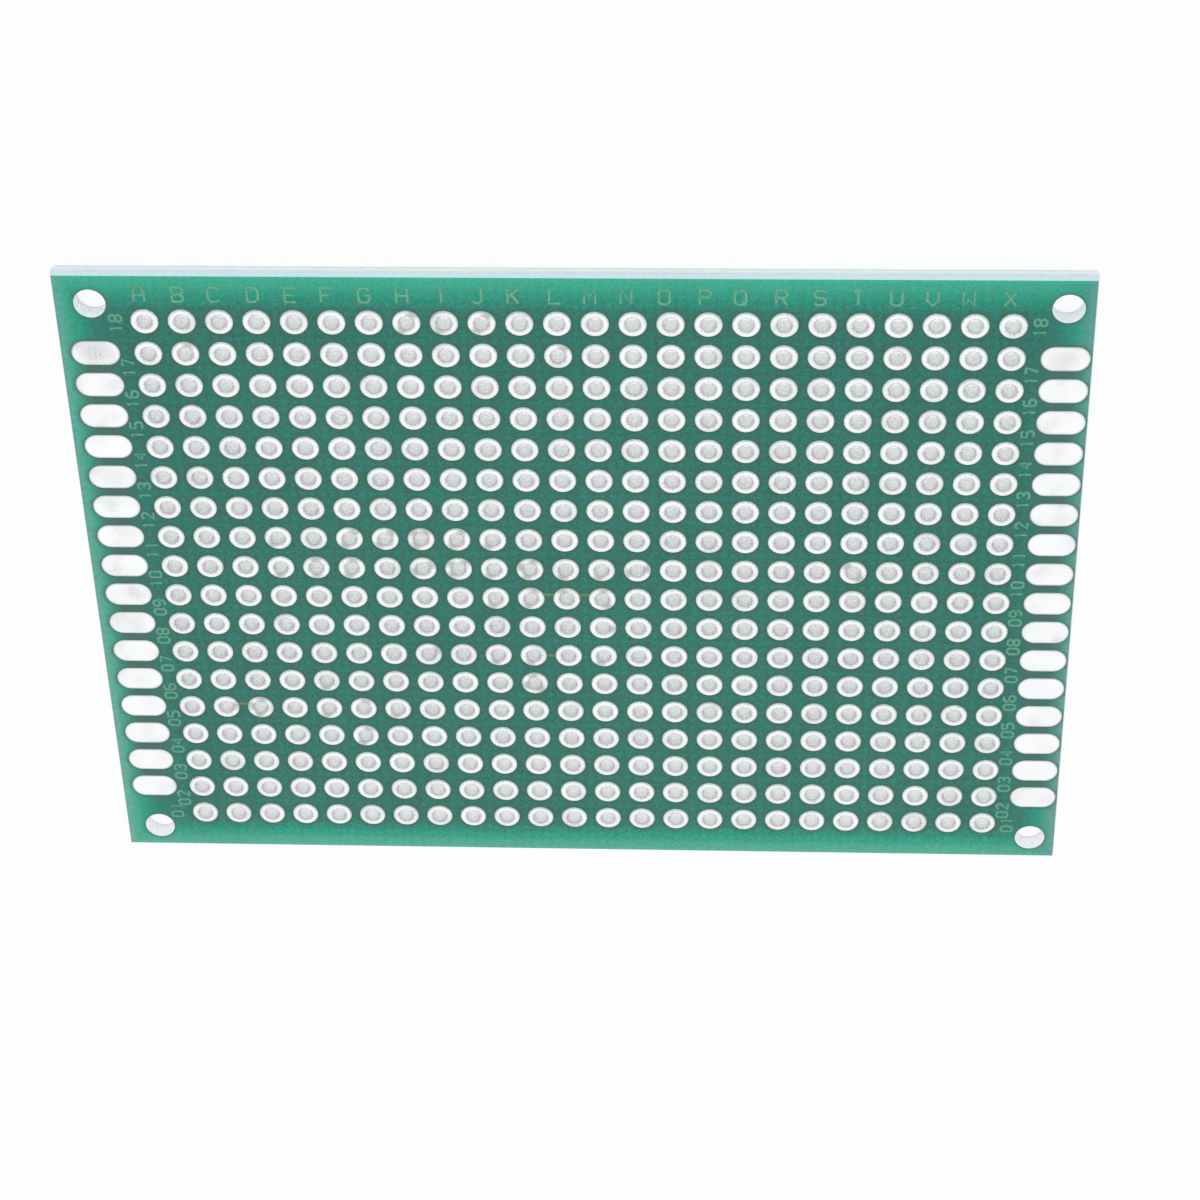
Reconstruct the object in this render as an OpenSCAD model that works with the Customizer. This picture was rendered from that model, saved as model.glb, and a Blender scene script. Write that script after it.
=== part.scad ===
// Double-sided prototype board: a drilled glass-epoxy sheet with a grid of plated
// lead holes, a row of oblong solder pads along each short end and four fixing holes.
// The back rests on z = 0, x runs along the lettered columns, y runs up the numbered rows.

/* [Lead hole grid] */
// Number of columns, lettered from A
column_count = 24; // [10:1:26]
// Number of rows, numbered from 1
row_count = 18; // [8:1:40]
// Distance from one hole to the next, both ways
pitch = 2.54; // [2.45:0.01:2.7]
// Finished diameter of a lead hole
lead_hole_d = 1; // [0.8:0.05:1.2]
// Diameter of the round pad at each end of a lead hole
lead_pad_d = 1.9; // [1.6:0.05:2.1]
// Wall of the metal barrel that lines a lead hole
barrel_wall = 0.05; // [0.04:0.01:0.08]

/* [Board] */
// Thickness of the bare glass-epoxy sheet
sheet_t = 1.3; // [0.8:0.1:2]
// From the outermost hole centres to a short end, before the shift of the pattern
end_margin = 5.79; // [5.3:0.01:7]
// From the outermost hole centres to a long side, before the shift of the pattern
side_margin = 3.41; // [3.1:0.01:5]
// Shift of the whole drilled and printed pattern along the board
pattern_shift_x = 0.3; // [-0.4:0.05:0.4]
// Shift of the whole drilled and printed pattern across the board
pattern_shift_y = -0.2; // [-0.4:0.05:0.4]
// Depth of the V score that the board was snapped along, from each face of the sheet
score_depth = 0.4; // [0.1:0.05:0.6]
// How far the score's slope reaches in from the outline
score_inset = 0.1; // [0.05:0.01:0.15]

/* [Fixing holes] */
// Diameter of a fixing hole
fixing_hole_d = 2.2; // [2:0.1:3]
// From a fixing hole's centre to the nearest short end, before the shift
fixing_inset_x = 2.2; // [2:0.05:2.5]
// From a fixing hole's centre to the nearest long side, before the shift
fixing_inset_y = 2.05; // [2:0.05:2.3]

/* [Oblong edge pads] */
// Length of an edge pad, along the board
edge_pad_length = 3.35; // [2.6:0.05:3.6]
// Width of an edge pad, which is also the diameter of its round ends
edge_pad_width = 1.9; // [1.4:0.05:2.1]
// From an edge pad's outer end to the board's short end, before the shift
edge_pad_inset = 0.5; // [0.5:0.05:0.9]
// Rows at the top and at the bottom of the grid that have no edge pad
rows_without_pad = 1; // [1:1:3]

/* [Metal and solder mask] */
// Height of the tinned copper pads above the sheet
pad_t = 0.05; // [0.04:0.005:0.1]
// Thickness of the solder mask
mask_t = 0.03; // [0.02:0.005:0.04]
// Bare ring between a pad and the edge of its opening in the mask
mask_gap = 0.05; // [0.03:0.01:0.1]
// Width of the slope at the outer rim of a pad
solder_slope_w = 0.12; // [0.05:0.01:0.2]
// Fall of the solder at the outer rim of a pad
solder_slope_drop = 0.02; // [0.01:0.005:0.03]
// Chamfer where a pad turns down into its hole
hole_rim = 0.02; // [0.01:0.005:0.03]

/* [Hidden] */
$fn = 72;
lead_hole_r = lead_hole_d / 2;
lead_pad_r = lead_pad_d / 2;
drill_r = lead_hole_r + barrel_wall;
grid_length = (column_count - 1) * pitch;
grid_width = (row_count - 1) * pitch;
board_length = grid_length + 2 * end_margin;
board_width = grid_width + 2 * side_margin;
sheet_bottom = pad_t;
sheet_top = sheet_bottom + sheet_t;
board_t = sheet_top + pad_t;
edge_pad_x = board_length / 2 - edge_pad_inset - edge_pad_length / 2;
fixing_x = board_length / 2 - fixing_inset_x;
fixing_y = board_width / 2 - fixing_inset_y;
drill_overrun = 1;
FIRST_LETTER = 97;
LEFT = -1;
RIGHT = 1;

function column_x(column) = pattern_shift_x - grid_length / 2 + column * pitch;
function row_y(row) = pattern_shift_y - grid_width / 2 + row * pitch;
function column_node(column) = str("plated_holes_", chr(FIRST_LETTER + column));

// Outline of the faces, inside the slopes of the V score
module face_outline() {
    square([board_length - 2 * score_inset, board_width - 2 * score_inset], center = true);
}

// Section across the snapped sheet: a straight web with a slope to each face
module scored_section(width) {
    web = width / 2;
    face = web - score_inset;
    polygon([
        [-face, 0],
        [face, 0],
        [web, score_depth],
        [web, sheet_t - score_depth],
        [face, sheet_t],
        [-face, sheet_t],
        [-web, sheet_t - score_depth],
        [-web, score_depth]
    ]);
}

// Blank of the sheet, snapped out of its panel on all four sides
module scored_blank() {
    intersection() {
        rotate([90, 0, 90]) linear_extrude(board_length, center = true) scored_section(board_width);
        rotate([90, 0, 0]) linear_extrude(board_width, center = true) scored_section(board_length);
    }
}

// A disc at each place of the lead grid
module at_lead_grid(r) {
    for (column = [0 : column_count - 1], row = [0 : row_count - 1])
        translate([column_x(column), row_y(row)]) circle(r);
}

// The four fixing holes
module fixing_holes() {
    for (sx = [LEFT, RIGHT], sy = [-1, 1])
        translate([pattern_shift_x + sx * fixing_x, pattern_shift_y + sy * fixing_y])
            circle(d = fixing_hole_d);
}

// Places one child at every edge pad of a side
module at_edge_pads(side) {
    for (row = [rows_without_pad : row_count - 1 - rows_without_pad])
        translate([pattern_shift_x + side * edge_pad_x, row_y(row)]) children();
}

// Outline with two round ends
module oblong(length, width) {
    square([length - width, width], center = true);
    for (side = [LEFT, RIGHT])
        translate([side * (length - width) / 2, 0]) circle(d = width);
}

// Section of a tinned pad from its middle to its rim, standing on the sheet
function pad_section(half_width) = [
    [0, 0],
    [half_width, 0],
    [half_width, pad_t - solder_slope_drop],
    [half_width - solder_slope_w, pad_t],
    [0, pad_t]
];

// One oblong pad with a sloping rim, standing on z = 0
module oblong_pad() {
    half_width = edge_pad_width / 2;
    straight = edge_pad_length - edge_pad_width;
    for (turn = [0, 180])
        rotate([90, 0, 90 + turn]) linear_extrude(straight, center = true)
            polygon(pad_section(half_width));
    for (side = [LEFT, RIGHT])
        translate([side * straight / 2, 0, 0]) rotate_extrude() polygon(pad_section(half_width));
}

// Half section of one plated hole: two pads joined by the barrel, as a list of [r, z]
function plated_hole_section() = [
    [lead_hole_r, hole_rim],
    [lead_hole_r + hole_rim, 0],
    [lead_pad_r - solder_slope_w, 0],
    [lead_pad_r, solder_slope_drop],
    [lead_pad_r, sheet_bottom],
    [drill_r, sheet_bottom],
    [drill_r, sheet_top],
    [lead_pad_r, sheet_top],
    [lead_pad_r, board_t - solder_slope_drop],
    [lead_pad_r - solder_slope_w, board_t],
    [lead_hole_r + hole_rim, board_t],
    [lead_hole_r, board_t - hole_rim]
];

// Mask skin with an opening round every pad and a hole at every fixing hole
module mask_skin() {
    linear_extrude(mask_t) difference() {
        face_outline();
        at_lead_grid(lead_pad_r + mask_gap);
        for (side = [LEFT, RIGHT])
            at_edge_pads(side) oblong(edge_pad_length + 2 * mask_gap, edge_pad_width + 2 * mask_gap);
        fixing_holes();
    }
}

// Drilled glass-epoxy sheet
module sheet() {
    color([0.80, 0.87, 0.89]) translate([0, 0, sheet_bottom]) difference() {
        scored_blank();
        translate([0, 0, -drill_overrun]) linear_extrude(sheet_t + 2 * drill_overrun) {
            at_lead_grid(drill_r);
            fixing_holes();
        }
    }
}

module solder_mask_front() {
    color([0.15, 0.47, 0.39]) translate([0, 0, sheet_top]) mask_skin();
}

module solder_mask_back() {
    color([0.15, 0.47, 0.39]) translate([0, 0, sheet_bottom - mask_t]) mask_skin();
}

// Edge pads of one side on the front of the sheet
module front_edge_pads(side) {
    color([0.93, 0.93, 0.94]) translate([0, 0, sheet_top]) at_edge_pads(side) oblong_pad();
}

// Edge pads of one side on the back of the sheet, facing down
module back_edge_pads(side) {
    color([0.93, 0.93, 0.94]) translate([0, 0, sheet_bottom]) at_edge_pads(side)
        mirror([0, 0, 1]) oblong_pad();
}

// Plated holes of one lettered column, one separate sleeve with two pads for each row
module plated_holes(column) {
    color([0.90, 0.90, 0.92])
        for (row = [0 : row_count - 1])
            translate([column_x(column), row_y(row), 0])
                rotate_extrude() polygon(plated_hole_section());
}

sheet();
solder_mask_front();
solder_mask_back();
front_edge_pads(LEFT);  // front_left_edge_pads
front_edge_pads(RIGHT);  // front_right_edge_pads
back_edge_pads(LEFT);  // back_left_edge_pads
back_edge_pads(RIGHT);  // back_right_edge_pads
for (column = [0 : column_count - 1])
    plated_holes(column);
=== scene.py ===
"""Looks of a double-sided prototype board: glass-epoxy sheet, green solder mask, tinned plated
holes, printed column letters and row numbers, and the white table that it lies on."""

import math

import bmesh
import bpy
from mathutils import Matrix, Vector


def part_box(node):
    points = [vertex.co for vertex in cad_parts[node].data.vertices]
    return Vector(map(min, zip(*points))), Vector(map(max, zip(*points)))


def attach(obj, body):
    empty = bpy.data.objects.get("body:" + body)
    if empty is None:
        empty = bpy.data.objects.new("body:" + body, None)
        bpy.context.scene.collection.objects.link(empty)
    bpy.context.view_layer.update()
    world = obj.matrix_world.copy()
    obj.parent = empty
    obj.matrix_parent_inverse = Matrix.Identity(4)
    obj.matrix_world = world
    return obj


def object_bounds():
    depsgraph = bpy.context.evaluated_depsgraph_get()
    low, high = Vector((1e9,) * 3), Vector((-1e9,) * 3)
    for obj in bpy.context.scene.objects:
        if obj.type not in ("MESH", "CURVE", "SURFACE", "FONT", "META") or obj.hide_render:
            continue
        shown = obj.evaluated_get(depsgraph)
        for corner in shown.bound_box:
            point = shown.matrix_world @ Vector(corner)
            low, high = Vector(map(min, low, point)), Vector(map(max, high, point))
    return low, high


bl_info = {
    "name": "Prototype Board Finish",
    "version": (1, 0, 0),
    "blender": (4, 5, 0),
    "location": "View3D > Sidebar > Board",
    "description": "Materials, printed legend and photo table of a prototype board",
    "category": "Object",
}

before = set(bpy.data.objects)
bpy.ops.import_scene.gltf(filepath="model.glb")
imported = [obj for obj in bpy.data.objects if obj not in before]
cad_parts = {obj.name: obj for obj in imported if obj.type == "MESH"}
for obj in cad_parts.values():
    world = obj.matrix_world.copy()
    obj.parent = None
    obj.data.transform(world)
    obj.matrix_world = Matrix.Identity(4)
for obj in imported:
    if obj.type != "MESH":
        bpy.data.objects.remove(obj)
CAD_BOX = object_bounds()

MM = 0.001
BODY = "root"
# A Mix node's two colour sockets, and the settings that make it mix colours
MIX_A, MIX_B = 6, 7
COLOUR_MIX = {"output": 2, "data_type": "RGBA"}
# Length in metres of one band of a Wave node at scale 1
WAVE_BAND = math.pi / 10

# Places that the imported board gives
SHEET_LOW, SHEET_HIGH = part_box("sheet")
HALF_LENGTH = (SHEET_HIGH[0] - SHEET_LOW[0]) / 2
HALF_WIDTH = (SHEET_HIGH[1] - SHEET_LOW[1]) / 2
MASK_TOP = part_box("solder_mask_front")[1][2]
BOARD_TOP = CAD_BOX[1][2]
COLUMN_NODES = sorted(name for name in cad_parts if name.startswith("plated_holes_"))
EDGE_PAD_NODES = sorted(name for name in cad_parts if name.endswith("_edge_pads"))
FIRST_LOW, FIRST_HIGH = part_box(COLUMN_NODES[0])
LAST_LOW, LAST_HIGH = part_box(COLUMN_NODES[-1])
PAD_DIAMETER = FIRST_HIGH[0] - FIRST_LOW[0]
PITCH = (LAST_LOW[0] - FIRST_LOW[0]) / (len(COLUMN_NODES) - 1)
COLUMN_A_X = (FIRST_LOW[0] + FIRST_HIGH[0]) / 2
COLUMN_LAST_X = (LAST_LOW[0] + LAST_HIGH[0]) / 2
ROW_1_Y = FIRST_LOW[1] + PAD_DIAMETER / 2
ROW_LAST_Y = FIRST_HIGH[1] - PAD_DIAMETER / 2
ROWS = round((ROW_LAST_Y - ROW_1_Y) / PITCH) + 1
LEFT_LOW, LEFT_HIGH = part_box("front_left_edge_pads")
RIGHT_LOW, RIGHT_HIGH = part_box("front_right_edge_pads")
# Middle of the drilled and printed pattern, which isn't quite the middle of the sheet
PATTERN_X = (LEFT_LOW[0] + RIGHT_HIGH[0]) / 2
PATTERN_Y = (ROW_1_Y + ROW_LAST_Y) / 2
EDGE_PAD_LENGTH = LEFT_HIGH[0] - LEFT_LOW[0]
# The first and the last row have no edge pad
EDGE_PAD_WIDTH = LEFT_HIGH[1] - LEFT_LOW[1] - (ROWS - 3) * PITCH
EDGE_PAD_REACH = (RIGHT_LOW[0] + RIGHT_HIGH[0]) / 2 - PATTERN_X
# Corner holes, from the middle of the pattern
CORNER_HOLE_X, CORNER_HOLE_Y, CORNER_HOLE_RADIUS = 32.8 * MM, 22.95 * MM, 1.1 * MM

# Strokes of the printed characters on a grid 4 wide and 6 high
GLYPH_WIDTH, GLYPH_HEIGHT = 4, 6
GLYPHS = {
    "A": [[(0, 0), (0, 4), (1, 6), (3, 6), (4, 4), (4, 0)], [(0, 2.6), (4, 2.6)]],
    "B": [
        [(0, 0), (0, 6), (3, 6), (4, 5), (4, 4), (3, 3), (0, 3)],
        [(3, 3), (4, 2), (4, 1), (3, 0), (0, 0)],
    ],
    "C": [[(4, 5), (3, 6), (1, 6), (0, 5), (0, 1), (1, 0), (3, 0), (4, 1)]],
    "D": [[(0, 0), (0, 6), (2.6, 6), (4, 4.6), (4, 1.4), (2.6, 0), (0, 0)]],
    "E": [[(4, 6), (0, 6), (0, 0), (4, 0)], [(0, 3), (3, 3)]],
    "F": [[(4, 6), (0, 6), (0, 0)], [(0, 3), (3, 3)]],
    "G": [[(4, 5), (3, 6), (1, 6), (0, 5), (0, 1), (1, 0), (3, 0), (4, 1), (4, 3), (2.4, 3)]],
    "H": [[(0, 0), (0, 6)], [(4, 0), (4, 6)], [(0, 3), (4, 3)]],
    "I": [[(2, 0), (2, 6)]],
    "J": [[(3.4, 6), (3.4, 1), (2.4, 0), (1.2, 0), (0.4, 1)]],
    "K": [[(0, 0), (0, 6)], [(4, 6), (0, 2.6)], [(1.3, 3.7), (4, 0)]],
    "L": [[(0, 6), (0, 0), (4, 0)]],
    "M": [[(0, 0), (0, 6), (2, 3), (4, 6), (4, 0)]],
    "N": [[(0, 0), (0, 6), (4, 0), (4, 6)]],
    "O": [[(1, 6), (3, 6), (4, 5), (4, 1), (3, 0), (1, 0), (0, 1), (0, 5), (1, 6)]],
    "P": [[(0, 0), (0, 6), (3, 6), (4, 5), (4, 4), (3, 3), (0, 3)]],
    "Q": [
        [(1, 6), (3, 6), (4, 5), (4, 1), (3, 0), (1, 0), (0, 1), (0, 5), (1, 6)],
        [(2.4, 1.6), (4, -0.4)],
    ],
    "R": [[(0, 0), (0, 6), (3, 6), (4, 5), (4, 4), (3, 3), (0, 3)], [(2, 3), (4, 0)]],
    "S": [
        [(4, 5), (3, 6), (1, 6), (0, 5), (0, 4), (1, 3)]
        + [(3, 3), (4, 2), (4, 1), (3, 0), (1, 0), (0, 1)]
    ],
    "T": [[(0.4, 6), (3.6, 6)], [(2, 6), (2, 0)]],
    "U": [[(0, 6), (0, 1), (1, 0), (3, 0), (4, 1), (4, 6)]],
    "V": [[(0, 6), (0, 2), (2, 0), (4, 2), (4, 6)]],
    "W": [[(0, 6), (0, 0), (2, 2.6), (4, 0), (4, 6)]],
    "X": [[(0, 0), (4, 6)], [(0, 6), (4, 0)]],
    "Y": [[(0, 6), (2, 3), (4, 6)], [(2, 3), (2, 0)]],
    "Z": [[(0, 6), (4, 6), (0, 0), (4, 0)]],
    "0": [[(1, 6), (3, 6), (4, 5), (4, 1), (3, 0), (1, 0), (0, 1), (0, 5), (1, 6)]],
    "1": [[(1, 5), (2, 6), (2, 0)]],
    "2": [[(0, 5), (1, 6), (3, 6), (4, 5), (4, 4), (0, 0), (4, 0)]],
    "3": [
        [(0, 5), (1, 6), (3, 6), (4, 5), (4, 4), (3, 3), (1.4, 3)],
        [(3, 3), (4, 2), (4, 1), (3, 0), (1, 0), (0, 1)],
    ],
    "4": [[(3, 0), (3, 6), (0, 2), (4, 2)]],
    "5": [[(4, 6), (0, 6), (0, 3.4), (3, 3.4), (4, 2.4), (4, 1), (3, 0), (0, 0)]],
    "6": [[(3.4, 6), (1, 6), (0, 5), (0, 1), (1, 0), (3, 0), (4, 1), (4, 2.4), (3, 3.2), (0, 3.2)]],
    "7": [[(0, 6), (4, 6), (1.4, 0)]],
    "8": [
        [(1, 3), (0, 4), (0, 5), (1, 6), (3, 6), (4, 5), (4, 4), (3, 3), (1, 3)],
        [(1, 3), (0, 2), (0, 1), (1, 0), (3, 0), (4, 1), (4, 2), (3, 3)],
    ],
    "9": [[(0.6, 0), (3, 0), (4, 1), (4, 5), (3, 6), (1, 6), (0, 5), (0, 3.6), (1, 2.8), (4, 2.8)]],
}
# Each line of a character lies this share of its thickness above the one before, so that no
# faces coincide
LINE_LIFT = 0.08

# Middle of a column letter: along the board from its column, and up from the last row
LETTER_X, LETTER_Y = -0.2 * MM, 2.12 * MM
# Letters printed off that line, in millimetres along the board
LETTER_SHIFT = {
    "B": 0.1,
    "D": 0.1,
    "E": 0.1,
    "I": 0.1,
    "K": -0.15,
    "L": 0.1,
    "M": -0.1,
    "N": -0.2,
    "O": -0.2,
    "Q": -0.2,
    "V": -0.15,
    "W": -0.3,
    "X": -0.1,
}
# Middles of the row numbers in millimetres, from the outermost column and up from the row: on
# the first row, on the last row and on the rows between
NUMBER_PLACES = {
    "row_numbers_left": (COLUMN_A_X, ((-2.14, 0.18), (-1.98, -0.17), (-1.48, -1.15))),
    "row_numbers_right": (COLUMN_LAST_X, ((1.8, -0.16), (1.8, -0.1), (1.42, -1.33))),
}

# Where dried flux dulls a pad: its row and column, and directions from the hole in degrees
# from +X
FLUX_SPOTS = {
    18: {"H": (60, 240), "I": (240,), "J": (60, 240)},
    17: {"B": (70,), "L": (60,)},
    11: {
        "D": (230,),
        "F": (60, 240),
        "G": (50, 230),
        "H": (60, 130, 240),
        "I": (60, 240),
        "J": (240,),
    },
    10: {
        "D": (260,),
        "E": (90, 270),
        "F": (80, 250),
        "H": (30, 210),
        "I": (50, 140, 230),
        "J": (240,),
        "K": (70, 160, 250),
        "L": (250,),
        "M": (250,),
        "N": (10, 200),
        "T": (130, 310),
    },
    9: {"J": (250,), "K": (70, 250), "L": (110,), "M": (80, 300)},
    8: {"M": (350,)},
    7: {"H": (30,), "J": (250,), "K": (250,), "M": (250,)},
    6: {"E": (260,), "K": (100, 200, 310)},
    5: {"B": (10,), "C": (80, 170, 260), "E": (250,), "F": (70,), "G": (250,)},
    4: {"F": (70, 250)},
}
# Middle of a flux spot, from the middle of its hole
FLUX_REACH = 0.68 * MM
# Edge pads with a tarnished middle: side of the board, row, strength
TARNISHED_PADS = ((-1, 17, 0.9), (-1, 13, 0.4), (1, 17, 0.4))
# Fine scratches in the mask: first column, last column, row, height above the row in millimetres
SCRATCHES = (("K", "M", 9, 0.33), ("B", "C", 5, 0.3), ("K", "L", 7, 0.0))


def linear(hex_colour):
    """Turns an sRGB hex colour into linear red, green and blue."""
    channels = [int(hex_colour[i : i + 2], 16) / 255 for i in (0, 2, 4)]
    return tuple(c / 12.92 if c <= 0.04045 else ((c + 0.055) / 1.055) ** 2.4 for c in channels)


def row_y(row):
    """Height of a numbered row on the board."""
    return ROW_1_Y + (row - 1) * PITCH


def column_x(letter):
    """Place of a lettered column along the board."""
    return COLUMN_A_X + (ord(letter) - ord("A")) * PITCH


class BoardFinishSettings(bpy.types.PropertyGroup):
    """Colours and sizes of the finish that a user may change"""

    mask_colour: bpy.props.FloatVectorProperty(
        name="Mask colour",
        description="Solder mask over the drilled field",
        subtype="COLOR",
        size=3,
        min=0,
        max=1,
        default=linear("267568"),
    )
    mask_edge_colour: bpy.props.FloatVectorProperty(
        name="Mask colour at the edge",
        description="Solder mask beside the snapped edge, where light shines up through the sheet",
        subtype="COLOR",
        size=3,
        min=0,
        max=1,
        default=linear("3BAA8C"),
    )
    sheet_edge_colour: bpy.props.FloatVectorProperty(
        name="Sheet edge colour",
        description="Glass cloth and epoxy where the sheet is snapped",
        subtype="COLOR",
        size=3,
        min=0,
        max=1,
        default=linear("D6E6EC"),
    )
    solder_colour: bpy.props.FloatVectorProperty(
        name="Solder colour",
        description="Molten-dipped tin on the pads",
        subtype="COLOR",
        size=3,
        min=0,
        max=1,
        default=linear("F5F6F7"),
    )
    ink_colour: bpy.props.FloatVectorProperty(
        name="Legend colour",
        description="Thin legend ink, with the mask showing through it",
        subtype="COLOR",
        size=3,
        min=0,
        max=1,
        default=linear("76BC9A"),
    )
    edge_glow: bpy.props.FloatProperty(
        name="Edge glow",
        description="How far in from the outline the mask looks lighter",
        unit="LENGTH",
        min=0.5 * MM,
        max=6 * MM,
        default=3.4 * MM,
    )
    stroke: bpy.props.FloatProperty(
        name="Legend stroke",
        description="Width of a printed line",
        unit="LENGTH",
        min=0.08 * MM,
        max=0.3 * MM,
        default=0.21 * MM,
    )
    ink_height: bpy.props.FloatProperty(
        name="Ink thickness",
        description="Height of the legend ink above the mask",
        unit="LENGTH",
        min=0.005 * MM,
        max=0.02 * MM,
        default=0.012 * MM,
    )
    letter_height: bpy.props.FloatProperty(
        name="Letter height",
        description="Height of a column letter",
        unit="LENGTH",
        min=0.5 * MM,
        max=2 * MM,
        default=1.1 * MM,
    )
    letter_width: bpy.props.FloatProperty(
        name="Letter width",
        description="Width of a column letter",
        unit="LENGTH",
        min=0.3 * MM,
        max=2 * MM,
        default=0.74 * MM,
    )
    number_height: bpy.props.FloatProperty(
        name="Number height",
        description="Height of a row number, along the board",
        unit="LENGTH",
        min=0.4 * MM,
        max=2 * MM,
        default=0.82 * MM,
    )
    number_width: bpy.props.FloatProperty(
        name="Number width",
        description="Width of one digit of a row number",
        unit="LENGTH",
        min=0.2 * MM,
        max=1 * MM,
        default=0.5 * MM,
    )
    number_step: bpy.props.FloatProperty(
        name="Digit spacing",
        description="From one digit of a row number to the next",
        unit="LENGTH",
        min=0.3 * MM,
        max=2 * MM,
        default=0.78 * MM,
    )


def add(tree, kind, sockets=None, output=0, stops=None, **settings):
    """Adds a node with its settings, values and links, and returns one of its outputs. A Map
    Range node takes a value (0) from one range (1 to 2) to another (3 to 4)."""
    node = tree.nodes.new(kind)
    for name, value in settings.items():
        setattr(node, name, value)
    for socket, value in (sockets or {}).items():
        if isinstance(value, bpy.types.NodeSocket):
            tree.links.new(value, node.inputs[socket])
        else:
            node.inputs[socket].default_value = value
    if stops:
        elements = node.color_ramp.elements
        while len(elements) < len(stops):
            elements.new(1.0)
        for element, (position, colour) in zip(elements, stops):
            element.position = position
            element.color = (*colour, 1)
    return node.outputs[output]


def new_material(name):
    """Returns an empty material with its node tree and its output node."""
    material = bpy.data.materials.new(name)
    material.use_nodes = True
    tree = material.node_tree
    tree.nodes.clear()
    return material, tree, tree.nodes.new("ShaderNodeOutputMaterial")


def wear(material, *node_names):
    """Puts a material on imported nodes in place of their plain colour."""
    for node_name in node_names:
        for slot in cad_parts[node_name].material_slots:
            slot.material = material


def levelness(tree):
    """How nearly a face looks straight up or down: 1 for a level one, 0 for an upright wall."""
    facing = add(tree, "ShaderNodeTexCoord", output="Normal")
    up = add(tree, "ShaderNodeSeparateXYZ", {0: facing}, output=2)
    return add(tree, "ShaderNodeMath", {0: up}, operation="ABSOLUTE")


def from_place(tree, value, place):
    """Distance in metres from a place along one axis."""
    offset = add(tree, "ShaderNodeMath", {0: value, 1: place}, operation="SUBTRACT")
    return add(tree, "ShaderNodeMath", {0: offset}, operation="ABSOLUTE")


def from_pair(tree, value, middle, reach):
    """Distance in metres from the nearer of two places that lie one on each side of a middle."""
    return from_place(tree, from_place(tree, value, middle), reach)


def across_pitch(tree, value, first, last):
    """Distance in metres from the nearest of a row of places one pitch apart, between two ends."""
    held = add(tree, "ShaderNodeClamp", {0: value, 1: first, 2: last})
    along = add(tree, "ShaderNodeMath", {0: held, 1: first}, operation="SUBTRACT")
    between = add(tree, "ShaderNodeMath", {0: along, 1: PITCH / 2}, operation="PINGPONG")
    beyond = from_place(tree, value, held)
    return add(tree, "ShaderNodeMath", {0: between, 1: beyond}, operation="ADD")


def from_outline(tree, x, y):
    """Distances in metres in from the short ends, and in from the nearest side of the outline."""
    to_ends, to_sides = (
        add(
            tree,
            "ShaderNodeMath",
            {0: half, 1: from_place(tree, value, 0.0)},
            operation="SUBTRACT",
        )
        for half, value in ((HALF_LENGTH, x), (HALF_WIDTH, y))
    )
    nearest = add(tree, "ShaderNodeMath", {0: to_ends, 1: to_sides}, operation="MINIMUM")
    return to_ends, nearest


def from_rim(tree, across, along, radius):
    """Distance in millimetres from the rim of a round pad, or of the round end of an oblong one."""
    offset = add(tree, "ShaderNodeCombineXYZ", {0: across, 1: along})
    distance = add(tree, "ShaderNodeVectorMath", {0: offset}, output=1, operation="LENGTH")
    clear = add(tree, "ShaderNodeMath", {0: distance, 1: radius}, operation="SUBTRACT")
    return add(tree, "ShaderNodeMath", {0: clear, 1: 1 / MM}, operation="MULTIPLY")


def from_edge_pad(tree, x, y):
    """Distance in metres along the board from the middle of an edge pad, and distance in
    millimetres from its rim, less than nothing over the pad."""
    along = from_pair(tree, x, PATTERN_X, EDGE_PAD_REACH)
    straight = (EDGE_PAD_LENGTH - EDGE_PAD_WIDTH) / 2
    past_straight = add(tree, "ShaderNodeMath", {0: along, 1: straight}, operation="SUBTRACT")
    past_straight = add(tree, "ShaderNodeMath", {0: past_straight, 1: 0.0}, operation="MAXIMUM")
    from_row = across_pitch(tree, y, ROW_1_Y + PITCH, ROW_LAST_Y - PITCH)
    return along, from_rim(tree, past_straight, from_row, EDGE_PAD_WIDTH / 2)


def pick(tree, values, operation):
    """Picks the least (MINIMUM) or the greatest (MAXIMUM) of several values."""
    picked = values[0]
    for value in values[1:]:
        picked = add(tree, "ShaderNodeMath", {0: picked, 1: value}, operation=operation)
    return picked


def cloth_streaks(tree, place):
    """Streaks of a snapped edge: the layers of glass cloth and the ends of their threads."""
    cloth_layers = 7
    cloth = (SHEET_HIGH[2] - SHEET_LOW[2]) / cloth_layers
    layers = add(
        tree,
        "ShaderNodeTexWave",
        {
            "Vector": place,
            "Scale": WAVE_BAND / cloth,
            "Distortion": 0.6,
            "Detail": 1.0,
            "Detail Scale": 2.0,
        },
        output="Fac",
        bands_direction="Z",
    )
    # Ends of the broken threads, about 0.5 mm apart along the edge
    threads = add(
        tree, "ShaderNodeTexNoise", {"Vector": place, "Scale": 2000.0, "Detail": 3.0}, output="Fac"
    )
    return add(tree, "ShaderNodeMath", {0: layers, 1: 0.35, 2: threads}, operation="MULTIPLY_ADD")


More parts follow.
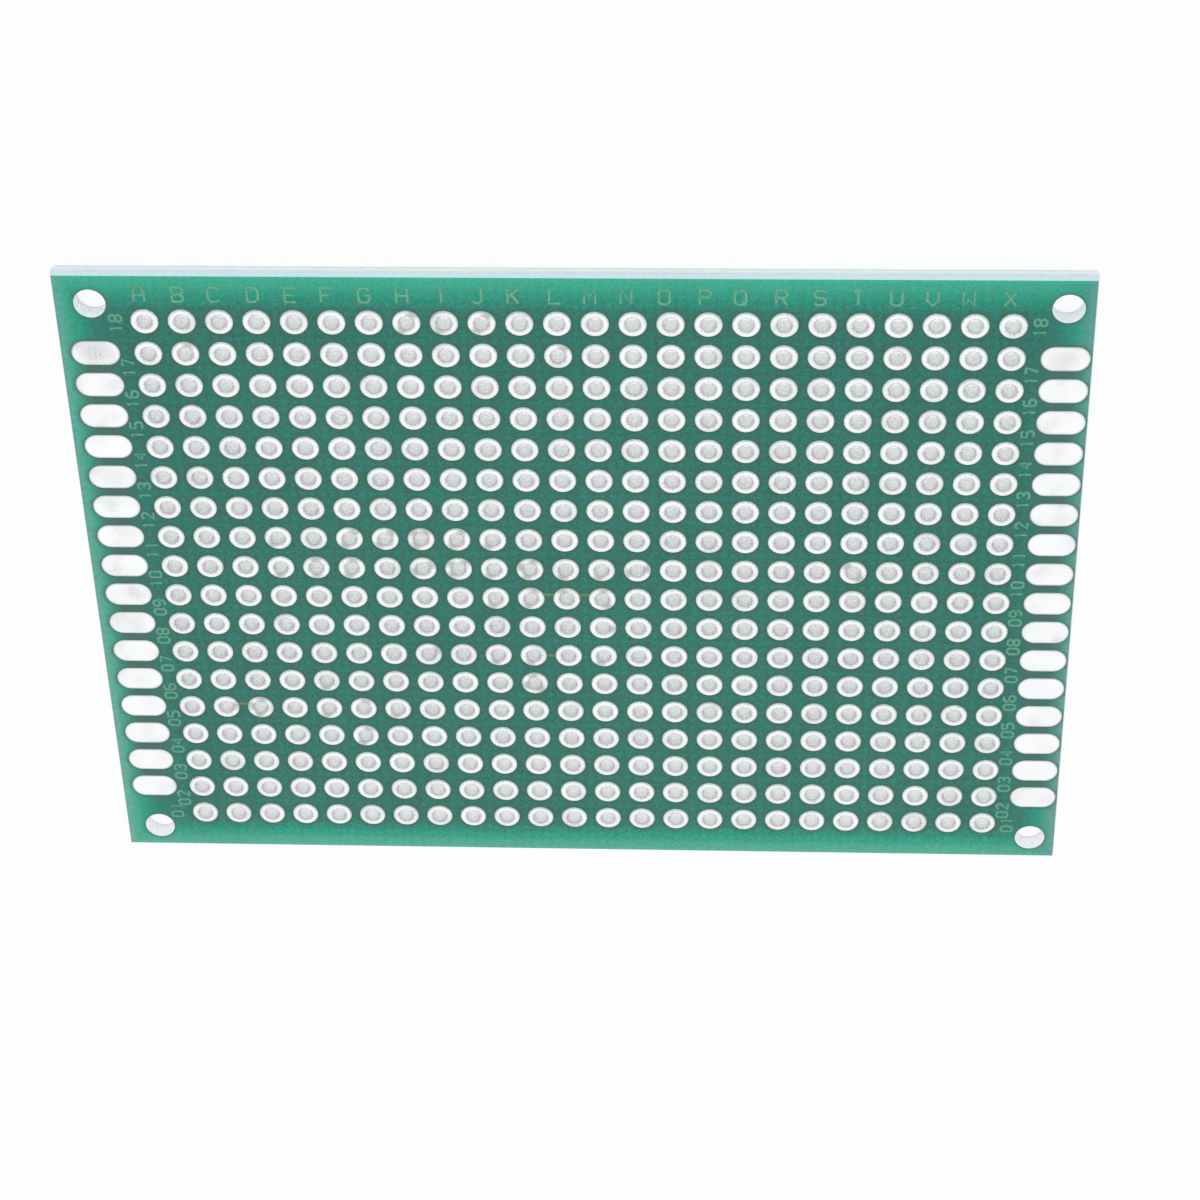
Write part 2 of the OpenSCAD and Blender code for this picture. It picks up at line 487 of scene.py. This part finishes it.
def snapped_edge(tree, settings, z, level, streaks):
    """Colour of the sheet's outline, snapped along a V score."""
    base = tuple(settings.sheet_edge_colour)
    web = add(
        tree,
        "ShaderNodeValToRGB",
        {0: streaks},
        stops=[
            (0.3, tuple(c * 0.86 for c in base)),
            (0.6, base),
            (0.9, tuple(min(c * 1.08, 1) for c in base)),
        ],
    )
    # The cut slopes of the score are smoother and bluer than the snapped web between them
    slope = add(tree, "ShaderNodeMapRange", {0: level, 1: 0.1, 2: 0.2, 3: 0.0, 4: 0.8})
    # The white table shines into the resin low down on the web
    low, high = SHEET_LOW[2] + 0.4 * MM, SHEET_LOW[2] + 0.75 * MM
    from_table = add(tree, "ShaderNodeMapRange", {0: z, 1: low, 2: high, 3: 0.8, 4: 0.0})
    edge = web
    for share, tone in ((slope, "CFEEF4"), (from_table, "F4FAFC")):
        edge = add(
            tree,
            "ShaderNodeMix",
            {0: share, MIX_A: edge, MIX_B: (*linear(tone), 1)},
            **COLOUR_MIX,
        )
    return edge


def light_from_walls(tree, place, y):
    """Colour of the light that shines out of the drilled walls, bluish and most beside row 1, and
    its strength, which the cut threads make uneven."""
    to_row_1 = add(
        tree, "ShaderNodeMapRange", {0: y, 1: HALF_WIDTH, 2: -HALF_WIDTH, 3: 0.0, 4: 1.0}
    )
    shine = add(
        tree,
        "ShaderNodeMix",
        {0: to_row_1, MIX_A: (*linear("102932"), 1), MIX_B: (*linear("3A3D45"), 1)},
        **COLOUR_MIX,
    )
    # Cut threads, about 0.2 mm apart
    threads = add(
        tree, "ShaderNodeTexNoise", {"Vector": place, "Scale": 5000.0, "Detail": 2.0}, output="Fac"
    )
    strength = add(tree, "ShaderNodeMapRange", {0: threads, 1: 0.35, 2: 0.65, 3: 0.0, 4: 2.0})
    return shine, strength


class BOARD_OT_glass_epoxy(bpy.types.Operator):
    """Gives the sheet the look of snapped glass cloth and epoxy"""

    bl_idname = "board.glass_epoxy"
    bl_label = "Glass-Epoxy Sheet"

    def execute(self, context):
        # FR-4 glass epoxy: woven glass in clear resin. Snapped or drilled it is pale and matt, with
        # a faint line for each layer of cloth; under the mask it looks olive.
        material, tree, out = new_material("snapped FR-4 glass epoxy")
        place = add(tree, "ShaderNodeTexCoord", output="Object")
        x, y, z = (add(tree, "ShaderNodeSeparateXYZ", {0: place}, output=i) for i in range(3))
        level = levelness(tree)
        streaks = cloth_streaks(tree, place)
        edge = snapped_edge(tree, context.scene.board_finish, z, level, streaks)
        # Light comes through the sheet into the drilled walls, which look nearly white
        inward = from_outline(tree, x, y)[1]
        snapped_depth = 0.4 * MM
        drilled = add(
            tree, "ShaderNodeMath", {0: inward, 1: snapped_depth}, operation="GREATER_THAN"
        )
        under_mask = add(tree, "ShaderNodeMath", {0: level, 1: 0.5}, operation="GREATER_THAN")
        colour = edge
        for share, tone in ((drilled, "FDFFFF"), (under_mask, "5C7F63")):
            colour = add(
                tree,
                "ShaderNodeMix",
                {0: share, MIX_A: colour, MIX_B: (*linear(tone), 1)},
                **COLOUR_MIX,
            )
        # and some of it shines out of them again
        shine, strength = light_from_walls(tree, place, y)
        bare = add(tree, "ShaderNodeMath", {0: 1.0, 1: under_mask}, operation="SUBTRACT")
        shining = add(tree, "ShaderNodeMath", {0: drilled, 1: bare}, operation="MULTIPLY")
        shining = add(tree, "ShaderNodeMath", {0: shining, 1: strength}, operation="MULTIPLY")
        rough = add(
            tree, "ShaderNodeBump", {"Strength": 0.25, "Distance": 0.02 * MM, "Height": streaks}
        )
        shader = add(
            tree,
            "ShaderNodeBsdfPrincipled",
            {
                "Base Color": colour,
                "Roughness": 0.7,
                "IOR": 1.5,
                "Specular IOR Level": 0.3,
                "Emission Color": shine,
                "Emission Strength": shining,
                "Normal": rough,
            },
        )
        tree.links.new(shader, out.inputs["Surface"])
        wear(material, "sheet")
        return {"FINISHED"}


def film_green(tree, settings, x, y):
    """Green of the film at a place, lighter towards the outline, before its specks and marks."""
    to_ends, to_outline = from_outline(tree, x, y)
    depth = add(
        tree,
        "ShaderNodeMapRange",
        {0: to_outline, 1: 0.0, 2: settings.edge_glow, 3: 0.0, 4: 1.0},
    )
    deep, bright = tuple(settings.mask_colour), tuple(settings.mask_edge_colour)
    # Halfway in, the film has less red than at either end
    shares = (-0.35, 0.53, 0.5)
    halfway = tuple(d + (b - d) * share for d, b, share in zip(deep, bright, shares))
    green = add(
        tree,
        "ShaderNodeValToRGB",
        {0: depth},
        stops=[
            (0.0, tuple(min(1, b * 1.15) for b in bright)),
            (0.2, bright),
            (0.5, halfway),
            (0.75, tuple(d + (b - d) * 0.12 for d, b in zip(deep, bright))),
            (1.0, deep),
        ],
    )
    # Next to the short ends the film is thinner and greyer, and a little so beside row 1
    thin = add(
        tree, "ShaderNodeMapRange", {0: to_ends, 1: 0.2 * MM, 2: 1.1 * MM, 3: 0.5, 4: 0.0}
    )
    thinnest = add(
        tree, "ShaderNodeMapRange", {0: to_ends, 1: 0.1 * MM, 2: 0.25 * MM, 3: 0.3, 4: 0.0}
    )
    thin = add(tree, "ShaderNodeMath", {0: thin, 1: thinnest}, operation="ADD")
    to_row_1_side = add(tree, "ShaderNodeMath", {0: y, 1: HALF_WIDTH}, operation="ADD")
    beside_row_1 = add(
        tree,
        "ShaderNodeMapRange",
        {0: to_row_1_side, 1: 0.2 * MM, 2: 1.2 * MM, 3: 0.24, 4: 0.0},
    )
    thin = add(tree, "ShaderNodeMath", {0: thin, 1: beside_row_1}, operation="MAXIMUM")
    green = add(
        tree,
        "ShaderNodeMix",
        {0: thin, MIX_A: green, MIX_B: (*linear("7E9F9F"), 1)},
        **COLOUR_MIX,
    )
    # Towards the last row the film is a purer green, and past the last column a little duller
    to_last_row = add(
        tree, "ShaderNodeMapRange", {0: y, 1: -0.6 * HALF_WIDTH, 2: HALF_WIDTH, 3: 0.0, 4: 1.0}
    )
    past_columns = add(
        tree,
        "ShaderNodeMapRange",
        {0: x, 1: COLUMN_LAST_X + PITCH, 2: COLUMN_LAST_X + 2 * PITCH, 3: 0.0, 4: 1.0},
    )
    for share, tint in ((to_last_row, "DAFAF9"), (past_columns, "FFF2FA")):
        green = add(
            tree,
            "ShaderNodeMix",
            {0: share, MIX_A: green, MIX_B: (*linear(tint), 1)},
            blend_type="MULTIPLY",
            **COLOUR_MIX,
        )
    return green


def film_unevenness(tree, place):
    """Specks and patches of the film, and the unevenness that they and the glass cloth add to."""
    # Glass cloth under the film, woven both ways
    weave = 0.7 * MM
    warp, weft = (
        add(
            tree,
            "ShaderNodeTexWave",
            {
                "Vector": place,
                "Scale": WAVE_BAND / weave,
                "Distortion": 1.5,
                "Detail": 2.0,
                "Detail Scale": 0.6,
            },
            output="Fac",
            bands_direction=direction,
        )
        for direction in ("X", "Y")
    )
    cloth = add(tree, "ShaderNodeMath", {0: warp, 1: weft}, operation="MULTIPLY")
    # Specks about 0.17 mm across, patches of 0.5 mm, slow drifts of 8 mm
    speck, patch, drift = (
        add(
            tree,
            "ShaderNodeTexNoise",
            {"Vector": place, "Scale": scale, "Detail": detail, "Roughness": 0.6},
            output="Fac",
        )
        for scale, detail in ((6000.0, 2.0), (2000.0, 3.0), (120.0, 2.0))
    )
    uneven = speck
    for part, share in ((patch, 0.4), (drift, 0.25), (cloth, 0.12)):
        uneven = add(
            tree, "ShaderNodeMath", {0: part, 1: share, 2: uneven}, operation="MULTIPLY_ADD"
        )
    return speck, patch, uneven


def shaded_by_edge_pads(tree, x, y):
    """How far the metal of the edge pads shades the sheet between and beside them."""
    off_middle, rim = from_edge_pad(tree, x, y)
    lowest = ROW_1_Y + PITCH - EDGE_PAD_WIDTH / 2
    highest = ROW_LAST_Y - PITCH + EDGE_PAD_WIDTH / 2
    beside_rows = add(tree, "ShaderNodeClamp", {0: y, 1: lowest, 2: highest})
    in_length = add(
        tree,
        "ShaderNodeMapRange",
        {0: off_middle, 1: 0.16 * EDGE_PAD_LENGTH, 2: 0.52 * EDGE_PAD_LENGTH, 3: 0.9, 4: 0.0},
    )
    in_rows = add(
        tree,
        "ShaderNodeMapRange",
        {0: from_place(tree, y, beside_rows), 1: 0.05 * MM, 2: 0.3 * MM, 3: 1.0, 4: 0.0},
    )
    in_gap = add(tree, "ShaderNodeMath", {0: in_length, 1: in_rows}, operation="MULTIPLY")
    round_pad = add(tree, "ShaderNodeMapRange", {0: rim, 1: 0.05, 2: 0.35, 3: 0.6, 4: 0.0})
    return add(tree, "ShaderNodeMath", {0: in_gap, 1: round_pad}, operation="MAXIMUM")


def scratched(tree, x, y):
    """How far a fine scratch shows the paler inside of the film."""
    distances = []
    for first, last, row, height in SCRATCHES:
        held = add(tree, "ShaderNodeClamp", {0: x, 1: column_x(first), 2: column_x(last)})
        off_line = from_place(tree, y, row_y(row) + height * MM)
        distances.append(from_rim(tree, from_place(tree, x, held), off_line, 0.0))
    nearest = pick(tree, distances, "MINIMUM")
    return add(tree, "ShaderNodeMapRange", {0: nearest, 1: 0.05, 2: 0.14, 3: 0.7, 4: 0.0})


class BOARD_OT_solder_mask(bpy.types.Operator):
    """Coats both faces with green solder mask"""

    bl_idname = "board.solder_mask"
    bl_label = "Solder Mask"

    def execute(self, context):
        # Liquid solder mask: a green epoxy film 0.03 mm thick, screened on and cured. It is smooth
        # but not polished, the glass cloth shows through it, and it glows at the snapped edge.
        material, tree, out = new_material("green solder mask")
        place = add(tree, "ShaderNodeTexCoord", output="Object")
        x, y = (add(tree, "ShaderNodeSeparateXYZ", {0: place}, output=i) for i in (0, 1))
        green = film_green(tree, context.scene.board_finish, x, y)
        speck, patch, uneven = film_unevenness(tree, place)
        value = add(tree, "ShaderNodeMapRange", {0: uneven, 1: 0.4, 2: 1.3, 3: 0.42, 4: 1.58})
        hue = add(tree, "ShaderNodeMapRange", {0: speck, 1: 0.25, 2: 0.75, 3: 0.475, 4: 0.525})
        purity = add(tree, "ShaderNodeMapRange", {0: patch, 1: 0.3, 2: 0.7, 3: 0.93, 4: 1.07})
        colour = add(
            tree,
            "ShaderNodeHueSaturation",
            {"Hue": hue, "Saturation": purity, "Value": value, "Color": green},
        )
        # In the bare margins the film lies more evenly than among the pads
        pad_rim = from_rim(
            tree,
            across_pitch(tree, x, COLUMN_A_X, COLUMN_LAST_X),
            across_pitch(tree, y, ROW_1_Y, ROW_LAST_Y),
            PAD_DIAMETER / 2,
        )
        even = add(tree, "ShaderNodeMapRange", {0: pad_rim, 1: 0.85, 2: 1.5, 3: 0.0, 4: 0.5})
        colour = add(tree, "ShaderNodeMix", {0: even, MIX_A: colour, MIX_B: green}, **COLOUR_MIX)
        # The film thins beside a pad, looks greyer where the edge pads shade the sheet, and looks
        # greyer round each corner hole
        by_pad = add(tree, "ShaderNodeMapRange", {0: pad_rim, 1: 0.05, 2: 0.5, 3: 0.5, 4: 0.0})
        by_edge_pads = shaded_by_edge_pads(tree, x, y)
        corner_hole_rim = from_rim(
            tree,
            from_pair(tree, x, PATTERN_X, CORNER_HOLE_X),
            from_pair(tree, y, PATTERN_Y, CORNER_HOLE_Y),
            CORNER_HOLE_RADIUS,
        )
        by_corner_hole = add(
            tree, "ShaderNodeMapRange", {0: corner_hole_rim, 1: 0.05, 2: 0.3, 3: 0.5, 4: 0.0}
        )
        for share, tone in (
            (by_pad, "35604F"),
            (by_edge_pads, "426862"),
            (by_corner_hole, "426862"),
            (scratched(tree, x, y), "7B8A68"),
        ):
            colour = add(
                tree,
                "ShaderNodeMix",
                {0: share, MIX_A: colour, MIX_B: (*linear(tone), 1)},
                **COLOUR_MIX,
            )
        ripple = add(
            tree, "ShaderNodeBump", {"Strength": 0.15, "Distance": 0.02 * MM, "Height": uneven}
        )
        shader = add(
            tree,
            "ShaderNodeBsdfPrincipled",
            {
                "Base Color": colour,
                "Roughness": 0.38,
                "IOR": 1.5,
                "Specular IOR Level": 0.35,
                "Normal": ripple,
            },
        )
        tree.links.new(shader, out.inputs["Surface"])
        wear(material, "solder_mask_front", "solder_mask_back")
        return {"FINISHED"}


def shaded_mouth_and_lapped_rim(tree, x, y, frost):
    """Tone of a round pad: painted shade where the solder curves down into the hole, most on the
    side of row 1, and at its rim the film laps a little over it."""
    ring_shift = 0.06 * MM  # towards row 1
    radius = from_rim(
        tree,
        across_pitch(tree, x, COLUMN_A_X, COLUMN_LAST_X),
        across_pitch(tree, y, ROW_1_Y - ring_shift, ROW_LAST_Y - ring_shift),
        0.0,
    )
    # The frosting breaks up both edges
    jitter = add(tree, "ShaderNodeMath", {0: frost, 1: 0.5}, operation="SUBTRACT")
    broken = add(tree, "ShaderNodeMath", {0: jitter, 1: 0.28, 2: radius}, operation="MULTIPLY_ADD")
    ring_reach = 1.1  # millimetres from the middle of the hole
    return add(
        tree,
        "ShaderNodeValToRGB",
        {0: add(tree, "ShaderNodeMath", {0: broken, 1: ring_reach}, operation="DIVIDE")},
        stops=[
            (0.45, linear("C4C2C4")),
            (0.54, linear("E5E3E3")),
            (0.62, linear("FDFDFD")),
            (0.75, linear("FCFFFF")),
            (0.8, linear("DDEBE8")),
            (0.9, linear("A2BCB5")),
            (0.95, linear("FFFFFF")),
        ],
    )


def dried_flux(tree, place, frost):
    """How far dried flux covers the solder, broken up by the frosting."""
    marks = [
        (letter, row, math.radians(angle))
        for row, holes in FLUX_SPOTS.items()
        for letter, angles in holes.items()
        for angle in angles
    ]
    distances = []
    for letter, row, turn in marks:
        middle = (
            column_x(letter) + FLUX_REACH * math.cos(turn),
            row_y(row) + FLUX_REACH * math.sin(turn),
            BOARD_TOP,
        )
        away = add(
            tree, "ShaderNodeVectorMath", {0: place, 1: middle}, output=1, operation="DISTANCE"
        )
        distances.append(away)
    nearest = pick(tree, distances, "MINIMUM")
    dried = add(
        tree, "ShaderNodeMapRange", {0: nearest, 1: 0.15 * MM, 2: 0.62 * MM, 3: 1.0, 4: 0.0}
    )
    dried = add(tree, "ShaderNodeMath", {0: dried, 1: frost}, operation="MULTIPLY")
    return add(tree, "ShaderNodeMapRange", {0: dried, 1: 0.12, 2: 0.55, 3: 0.0, 4: 0.85})


def tarnish(tree, place, frost):
    """How far the solder on a few edge pads has gone grey, streaked by the frosting."""
    greys = []
    for side, row, strength in TARNISHED_PADS:
        middle = (PATTERN_X + side * EDGE_PAD_REACH, row_y(row), BOARD_TOP)
        away = add(
            tree, "ShaderNodeVectorMath", {0: place, 1: middle}, output=1, operation="DISTANCE"
        )
        grey = add(
            tree, "ShaderNodeMapRange", {0: away, 1: 0.3 * MM, 2: 1.5 * MM, 3: strength, 4: 0.0}
        )
        greys.append(grey)
    greyest = pick(tree, greys, "MAXIMUM")
    streaky = add(tree, "ShaderNodeMapRange", {0: frost, 1: 0.38, 2: 0.6, 3: 0.2, 4: 1.0})
    return add(tree, "ShaderNodeMath", {0: greyest, 1: streaky}, operation="MULTIPLY")


class BOARD_OT_tinned_copper(bpy.types.Operator):
    """Tins the plated holes and the edge pads"""

    bl_idname = "board.tinned_copper"
    bl_label = "Tinned Copper"

    def execute(self, context):
        settings = context.scene.board_finish
        # Hot-air-levelled tin on copper: bright, slightly lumpy and softly polished on the pads,
        # greyer down the barrel of each hole, where the grey is partly painted shade.
        material, tree, out = new_material("hot-air-levelled tin")
        place = add(tree, "ShaderNodeTexCoord", output="Object")
        x, y = (add(tree, "ShaderNodeSeparateXYZ", {0: place}, output=i) for i in (0, 1))
        level = levelness(tree)
        # Frosting of the solder, grains about 0.15 mm across, and a slow change from pad to pad
        frost, batch = (
            add(
                tree,
                "ShaderNodeTexNoise",
                {"Vector": place, "Scale": scale, "Detail": detail},
                output="Fac",
            )
            for scale, detail in ((6500.0, 3.0), (500.0, 1.0))
        )
        mottle = add(
            tree, "ShaderNodeMath", {0: frost, 1: 0.5, 2: batch}, operation="MULTIPLY_ADD"
        )
        base = tuple(settings.solder_colour)
        face = add(
            tree,
            "ShaderNodeValToRGB",
            {0: mottle},
            stops=[
                (0.45, tuple(c * 0.83 for c in base)),
                (0.67, base),
                (0.9, tuple(min(c * 1.05, 1) for c in base)),
            ],
        )
        # Painted shade in the mouth of each hole, and the film lapped over the pad's rim
        face = add(
            tree,
            "ShaderNodeMix",
            {0: 1.0, MIX_A: face, MIX_B: shaded_mouth_and_lapped_rim(tree, x, y, frost)},
            blend_type="MULTIPLY",
            **COLOUR_MIX,
        )
        # The film laps the rim of the edge pads as well
        rim = from_edge_pad(tree, x, y)[1]
        lapped = add(tree, "ShaderNodeMapRange", {0: rim, 1: -0.14, 2: 0.0, 3: 0.0, 4: 0.8})
        over_pad = add(tree, "ShaderNodeMath", {0: rim, 1: 0.1}, operation="LESS_THAN")
        lapped = add(tree, "ShaderNodeMath", {0: lapped, 1: over_pad}, operation="MULTIPLY")
        # Flux left beside some of the holes has dried grey-brown
        for share, tone in (
            (lapped, "8FB5AC"),
            (dried_flux(tree, place, frost), "ABAEA9"),
            (tarnish(tree, place, frost), "C9CACC"),
        ):
            face = add(
                tree,
                "ShaderNodeMix",
                {0: share, MIX_A: face, MIX_B: (*linear(tone), 1)},
                **COLOUR_MIX,
            )
        # The wall of a hole is greyer than the pad, partly as painted shade down the hole, and
        # greyer in one place than in another, and towards row 1 more light from the table comes up
        # through the holes
        barrel = add(
            tree,
            "ShaderNodeValToRGB",
            {0: frost},
            stops=[(0.35, linear("D7DBDD")), (0.6, linear("F3F6F7"))],
        )
        lit = add(tree, "ShaderNodeMapRange", {0: y, 1: row_y(1), 2: row_y(6), 3: 0.45, 4: 0.0})
        barrel = add(
            tree,
            "ShaderNodeMix",
            {0: lit, MIX_A: barrel, MIX_B: (*linear("FFFFFF"), 1)},
            **COLOUR_MIX,
        )
        wall = add(tree, "ShaderNodeMapRange", {0: level, 1: 0.2, 2: 0.6, 3: 1.0, 4: 0.0})
        colour = add(tree, "ShaderNodeMix", {0: wall, MIX_A: face, MIX_B: barrel}, **COLOUR_MIX)
        lumps = add(
            tree, "ShaderNodeBump", {"Strength": 0.3, "Distance": 0.02 * MM, "Height": mottle}
        )
        shader = add(
            tree,
            "ShaderNodeBsdfPrincipled",
            {"Base Color": colour, "Metallic": 1.0, "Roughness": 0.34, "Normal": lumps},
        )
        tree.links.new(shader, out.inputs["Surface"])
        wear(material, *COLUMN_NODES, *EDGE_PAD_NODES)
        return {"FINISHED"}


def legend_ink(settings):
    """Returns the legend ink, made once and shared by the letters and the numbers."""
    name = "screen-printed legend ink"
    if name in bpy.data.materials:
        return bpy.data.materials[name]
    # Thin screen-printed epoxy ink: matt, patchy where the green mask shows through.
    material, tree, out = new_material(name)
    place = add(tree, "ShaderNodeTexCoord", output="Object")
    # Pinholes of the screen, about 0.1 mm apart
    pinholes = add(
        tree, "ShaderNodeTexNoise", {"Vector": place, "Scale": 9000.0, "Detail": 2.0}, output="Fac"
    )
    ink = tuple(settings.ink_colour)
    colour = add(
        tree,
        "ShaderNodeValToRGB",
        {0: pinholes},
        stops=[(0.35, tuple(c * 0.72 for c in ink)), (0.6, ink)],
    )
    # The screen was drier over the numbers, where the mask shows through more
    x = add(tree, "ShaderNodeSeparateXYZ", {0: place})
    dry = add(
        tree,
        "ShaderNodeMapRange",
        {0: from_place(tree, x, 0.0), 1: COLUMN_LAST_X - PITCH, 2: COLUMN_LAST_X, 3: 0.15, 4: 0.32},
    )
    colour = add(
        tree,
        "ShaderNodeMix",
        {0: dry, MIX_A: colour, MIX_B: (*linear("2F8370"), 1)},
        **COLOUR_MIX,
    )
    grit = add(
        tree, "ShaderNodeBump", {"Strength": 0.2, "Distance": 0.005 * MM, "Height": pinholes}
    )
    shader = add(
        tree,
        "ShaderNodeBsdfPrincipled",
        {
            "Base Color": colour,
            "Roughness": 0.6,
            "IOR": 1.5,
            "Specular IOR Level": 0.3,
            "Normal": grit,
        },
    )
    tree.links.new(shader, out.inputs["Surface"])
    return material


def print_strokes(settings, name, words, turn, width, height, step):
    """Prints words as one flat mesh. Each word is its text and the x and y of its middle, width
    and height are those of a character, and step goes from one character to the next."""
    curve = bpy.data.curves.new(name, "CURVE")
    curve.dimensions = "3D"
    curve.bevel_depth = settings.stroke / 2
    curve.bevel_resolution = 1
    curve.use_fill_caps = True
    for text, x, y in words:
        placed = Matrix.Translation((x, y, 0)) @ Matrix.Rotation(turn, 4, "Z")
        start = -step * (len(text) - 1) / 2 - width / 2
        for i, character in enumerate(text):
            for lift, line in enumerate(GLYPHS[character]):
                spline = curve.splines.new("POLY")
                spline.points.add(len(line) - 1)
                for point, (u, v) in zip(spline.points, line):
                    corner = Vector(
                        (
                            start + i * step + u / GLYPH_WIDTH * width,
                            (v / GLYPH_HEIGHT - 0.5) * height,
                            lift * LINE_LIFT * settings.stroke,
                        )
                    )
                    point.co = (*(placed @ corner), 1)
    drawn = bpy.data.objects.new(name + "_line", curve)
    bpy.context.scene.collection.objects.link(drawn)
    bpy.context.view_layer.update()
    mesh = bpy.data.meshes.new_from_object(
        drawn.evaluated_get(bpy.context.evaluated_depsgraph_get())
    )
    bpy.data.objects.remove(drawn)
    # The round line is pressed flat on the mask, half of it below the surface
    flatness = settings.ink_height / settings.stroke * 2
    mesh.transform(
        Matrix.Translation((0, 0, MASK_TOP)) @ Matrix.Diagonal((1, 1, flatness, 1))
    )
    mesh.name = name
    piece = bpy.data.objects.new(name, mesh)
    bpy.context.scene.collection.objects.link(piece)
    mesh.materials.clear()
    mesh.materials.append(legend_ink(settings))
    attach(piece, BODY)


class BOARD_OT_column_letters(bpy.types.Operator):
    """Prints a letter above each column"""

    bl_idname = "board.column_letters"
    bl_label = "Column Letters"

    def execute(self, context):
        settings = context.scene.board_finish
        words = []
        for column in range(len(COLUMN_NODES)):
            letter = chr(ord("A") + column)
            x = column_x(letter) + LETTER_X + LETTER_SHIFT.get(letter, 0.0) * MM
            words.append((letter, x, ROW_LAST_Y + LETTER_Y))
        width, height = settings.letter_width, settings.letter_height
        print_strokes(settings, "column_letters", words, 0, width, height, 0)
        return {"FINISHED"}


class BOARD_OT_row_numbers(bpy.types.Operator):
    """Prints a turned number beside each row, at both ends of the board"""

    bl_idname = "board.row_numbers"
    bl_label = "Row Numbers"

    def execute(self, context):
        settings = context.scene.board_finish
        width, height = settings.number_width, settings.number_height
        for name, (column, (first, last, between)) in NUMBER_PLACES.items():
            words = []
            for row in range(1, ROWS + 1):
                along, up = {1: first, ROWS: last}.get(row, between)
                words.append((f"{row:02d}", column + along * MM, row_y(row) + up * MM))
            print_strokes(
                settings, name, words, math.pi / 2, width, height, settings.number_step
            )
        return {"FINISHED"}


class BOARD_OT_stage(bpy.types.Operator):
    """Sets the white table, the soft light and the camera"""

    bl_idname = "board.stage"
    bl_label = "Table, Light and Camera"

    def execute(self, context):
        scene = context.scene
        # White photo table: it keeps a faint shadow, and mirrors see it white
        material, tree, out = new_material("white photo table")
        rays = [
            add(tree, "ShaderNodeLightPath", output=name)
            for name in ("Is Camera Ray", "Is Glossy Ray", "Is Transmission Ray")
        ]
        seen = pick(tree, rays, "MAXIMUM")
        share = add(tree, "ShaderNodeMath", {0: seen, 1: 0.85}, operation="MULTIPLY")
        matt = add(tree, "ShaderNodeBsdfDiffuse", {"Color": (*linear("FAFAFA"), 1)})
        white = add(
            tree, "ShaderNodeEmission", {"Color": (*linear("FFFFFF"), 1), "Strength": 1.0}
        )
        mixed = add(tree, "ShaderNodeMixShader", {0: share, 1: matt, 2: white})
        tree.links.new(mixed, out.inputs["Surface"])

        # Half the width of the table, and how far below the board it lies, so that no faces
        # coincide
        table_reach, table_gap = 2.0, 0.02 * MM
        mesh = bpy.data.meshes.new("photo_table")
        shape = bmesh.new()
        bmesh.ops.create_grid(shape, x_segments=1, y_segments=1, size=table_reach)
        bmesh.ops.translate(shape, verts=shape.verts, vec=(0, 0, -table_gap))
        shape.to_mesh(mesh)
        shape.free()
        mesh.materials.append(material)
        table = bpy.data.objects.new("photo_table", mesh)
        scene.collection.objects.link(table)

        world = bpy.data.worlds.new("soft white room")
        world.use_nodes = True
        tree = world.node_tree
        tree.nodes.clear()
        sky = add(
            tree, "ShaderNodeBackground", {"Color": (*linear("FFFFFF"), 1), "Strength": 0.94}
        )
        out = tree.nodes.new("ShaderNodeOutputWorld")
        tree.links.new(sky, out.inputs["Surface"])
        scene.world = world

        lamp_data = bpy.data.lights.new("softbox", "AREA")
        lamp_data.shape = "DISK"
        lamp_data.size = 0.9
        lamp_data.energy = 0.2
        lamp = bpy.data.objects.new("softbox", lamp_data)
        above = Vector((-0.1, -0.3, 0.8))
        facing = above.to_track_quat("Z", "Y").to_matrix().to_4x4()
        lamp.matrix_world = Matrix.Translation(above) @ facing
        scene.collection.objects.link(lamp)

        # Camera solved from the drilled grid, measured from the middle of hole A01's front pad
        right = Vector((0.998579, -0.022485, -0.048306))
        up = Vector((-0.010372, 0.807220, -0.590160))
        back = Vector((0.052263, 0.589822, 0.805840))
        hole_a01 = Vector((COLUMN_A_X, ROW_1_Y, BOARD_TOP))
        place = hole_a01 + Vector((42.150, 153.811, 182.468)) * MM
        camera_data = bpy.data.cameras.new("photo_camera")
        camera_data.lens = 95.24
        camera_data.sensor_width = 36
        camera_data.clip_start = 10 * MM
        camera = bpy.data.objects.new("photo_camera", camera_data)
        turn = Matrix((right, up, back)).transposed().to_4x4()
        camera.matrix_world = Matrix.Translation(place) @ turn
        scene.collection.objects.link(camera)
        scene.camera = camera
        scene.view_settings.view_transform = "Standard"
        return {"FINISHED"}


OPERATORS = (
    BOARD_OT_glass_epoxy,
    BOARD_OT_solder_mask,
    BOARD_OT_tinned_copper,
    BOARD_OT_column_letters,
    BOARD_OT_row_numbers,
    BOARD_OT_stage,
)


class VIEW3D_PT_prototype_board(bpy.types.Panel):
    """Lists the sizes, the colours and the steps of the board's finish"""

    bl_idname = "VIEW3D_PT_prototype_board"
    bl_label = "Prototype Board"
    bl_space_type = "VIEW_3D"
    bl_region_type = "UI"
    bl_category = "Board"

    def draw(self, context):
        settings = context.scene.board_finish
        for name in settings.__annotations__:
            self.layout.prop(settings, name)
        for operator in OPERATORS:
            self.layout.operator(operator.bl_idname)


CLASSES = (BoardFinishSettings, *OPERATORS, VIEW3D_PT_prototype_board)


def register():
    for cls in CLASSES:
        bpy.utils.register_class(cls)
    bpy.types.Scene.board_finish = bpy.props.PointerProperty(type=BoardFinishSettings)


def unregister():
    del bpy.types.Scene.board_finish
    for cls in reversed(CLASSES):
        bpy.utils.unregister_class(cls)


def main():
    register()
    bpy.ops.board.glass_epoxy()
    bpy.ops.board.solder_mask()
    bpy.ops.board.tinned_copper()
    bpy.ops.board.column_letters()
    bpy.ops.board.row_numbers()
    bpy.ops.board.stage()


if __name__ == "__main__":
    main()
